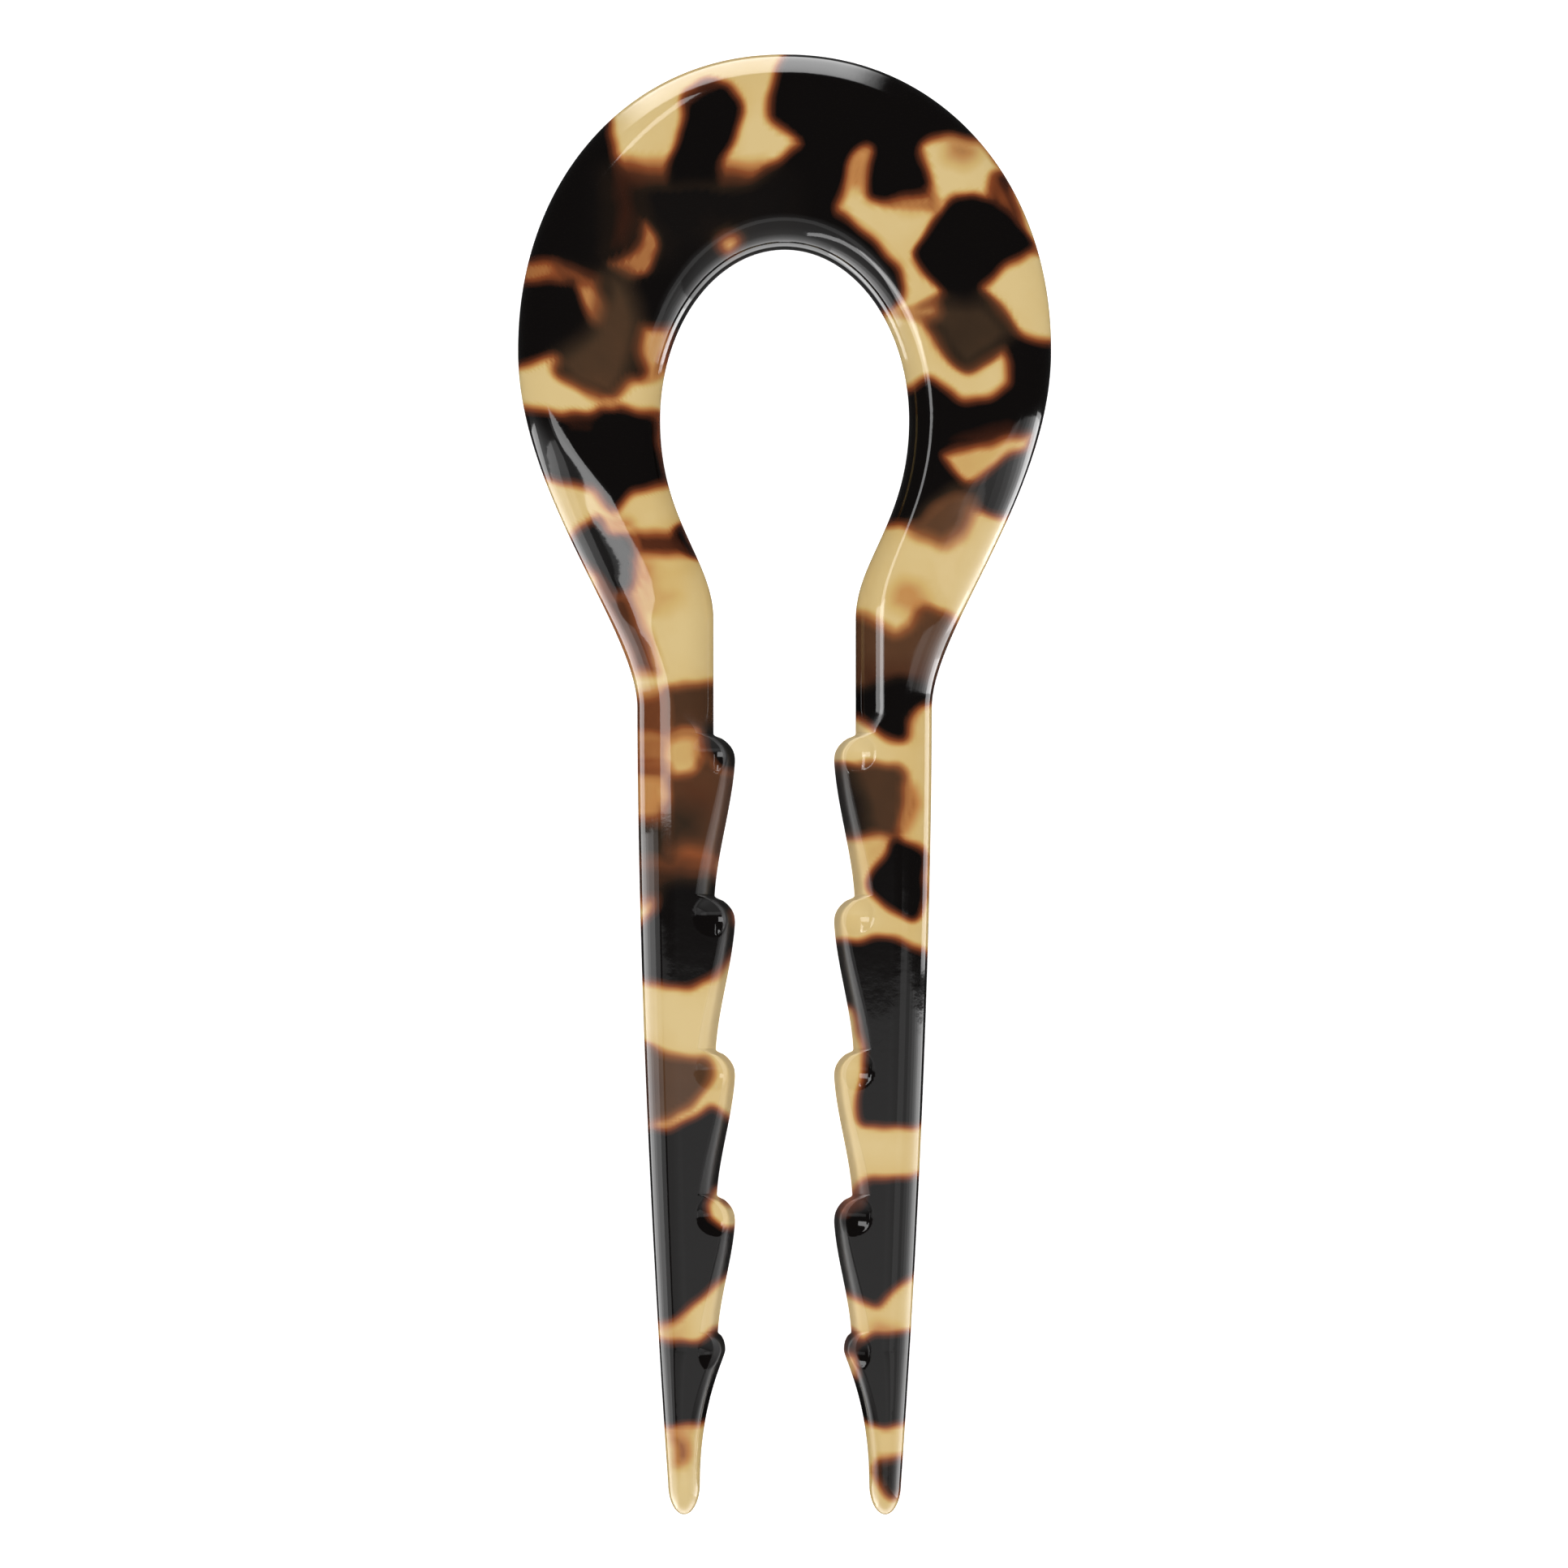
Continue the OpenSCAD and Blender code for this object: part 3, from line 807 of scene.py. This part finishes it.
# The studio's panels. Panel: its middle and the point that it faces, in millimetres, its width
# across and its length along the pin, its radiance, and whether the gloss shows it.
PANELS = [
    ("overhead", (0, 0, 900), (0, 0, 0), (1500, 1500), 2.2, False),
    ("near_lamp", (-56.4, 9.8, 110.9), (-5.4, 9.8, 13.4), (52, 30), 4.6, True),
    ("gap_lamp", (-7.5, 18, 36), (0, 18, 36), (12, 27), 5.0, True),
    ("ceiling", (0, -100, 600), (0, -100, 0), (1000, 100), 0.5, True),
    ("far_ceiling", (0, -132, 600), (0, -132, 0), (1000, 36), 0.45, True),
    ("crown_lamp", (-34, 99, 100), (-10, 52, 0), (9, 44), 5.0, True),
]

# The cards that stand beside the legs, as bands of falling light that only the gloss sees. Card: its
# x, its middle y and its length along the pin, and its bands. Band: lower z, upper z and radiance.
CARDS = [
    ("left_low", -100, -81, 150, [(-60, 0, 4.5), (0, 20, 3.2), (20, 58, 2.4), (58, 96, 1.0)]),
    ("left_high", -100, 2, 16, [(-60, -2, 4.0)]),
    ("right_low", 400, -130, 170, [(-260, 0, 4.5), (0, 62, 3.2), (62, 132, 2.2), (132, 220, 1.4),
                                   (220, 330, 0.9), (330, 480, 0.6), (480, 900, 0.4)]),
    ("right_high", 100, -2, 36, [(-60, -2, 4.0)]),
]


def make_panel(name, middle, faces, size, radiance, seen):
    data = bpy.data.lights.new(name, "AREA")
    data.shape = "RECTANGLE"
    data.size, data.size_y = size[0] * MM, size[1] * MM
    data.energy = radiance * math.pi * data.size * data.size_y
    light = bpy.data.objects.new(name, data)
    back = (Vector(middle) - Vector(faces)).normalized()
    across = Vector((0, 1, 0)).cross(back).normalized()
    light.matrix_world = Matrix((across, back.cross(across), back)).transposed().to_4x4()
    light.location = Vector(middle) * MM
    light.visible_camera = False
    light.visible_glossy = seen
    light.visible_diffuse = not seen
    bpy.context.collection.objects.link(light)


def make_cards():
    for side, x, middle_y, along, bands in CARDS:
        for low, high, radiance in bands:
            middle_z = (low + high) / 2
            make_panel(f"{side}_card_{low}", (x, middle_y, middle_z), (0, middle_y, middle_z),
                       (high - low, along), radiance, True)


# The sky, which only the gloss sees: its darkest light, the light that fills a ramp, and two glows,
# one behind the tips and one behind the crown. Glow: the azimuth of its middle,
# the cosines of the angles round from it where it starts and where it is full, and its radiance
# against the angle from straight up, in degrees.
GLOWS = [
    (270, 0.10, 0.80, [(0, 0.0), (10, 0.25), (18, 0.40), (36, 0.45), (46, 0.57), (57, 0.73), (69, 1.9),
                       (80, 3.4), (85, 4.9), (90, 5.5), (117, 5.0), (124, 0.1)]),
    (99, 0.85, 0.94, [(51, 0.0), (53, 6.0), (60, 7.0), (73, 7.5), (90, 7.0), (117, 6.0), (124, 0.1)]),
]
DARK_SKY = 0.05
SKY_TOP = 8.0
LEAST_LEVEL = 0.001


def make_world():
    world = bpy.data.worlds.new("studio")
    bpy.context.scene.world = world
    world.cycles_visibility.diffuse = False
    g = Graph(world)
    direction = g.add("ShaderNodeTexCoord").outputs["Generated"]
    z = g.add("ShaderNodeSeparateXYZ", {"Vector": direction}).outputs["Z"]
    level = g.maths("SQRT", g.maths("SUBTRACT", 1.0, g.maths("MULTIPLY", z, z)))
    from_up = g.maths("DIVIDE", g.maths("ARCCOSINE", z), math.pi)
    sky = DARK_SKY
    for azimuth, start, full, stops in GLOWS:
        middle = (math.cos(math.radians(azimuth)), math.sin(math.radians(azimuth)), 0)
        along = g.add("ShaderNodeVectorMath", {0: direction, 1: middle},
                      operation="DOT_PRODUCT").outputs["Value"]
        round_from = g.maths("DIVIDE", along, g.maths("MAXIMUM", level, LEAST_LEVEL))
        share = g.add("ShaderNodeMapRange", {"Value": round_from, "From Min": start,
                                             "From Max": full},
                      interpolation_type="SMOOTHSTEP").outputs["Result"]
        glow = g.ramp(from_up, [(angle / 180, (value / SKY_TOP,) * 3) for angle, value in stops])
        sky = g.maths("ADD", g.maths("MULTIPLY", g.maths("MULTIPLY", glow, share), SKY_TOP), sky)
    back = g.add("ShaderNodeBackground", {"Color": sky, "Strength": 1.0})
    g.add("ShaderNodeOutputWorld", {"Surface": back.outputs["Background"]})


make_pin()
make_camera()
make_floor()
make_shade()
make_world()
for panel in PANELS:
    make_panel(*panel)
make_cards()
bpy.context.scene.view_settings.view_transform = "Standard"
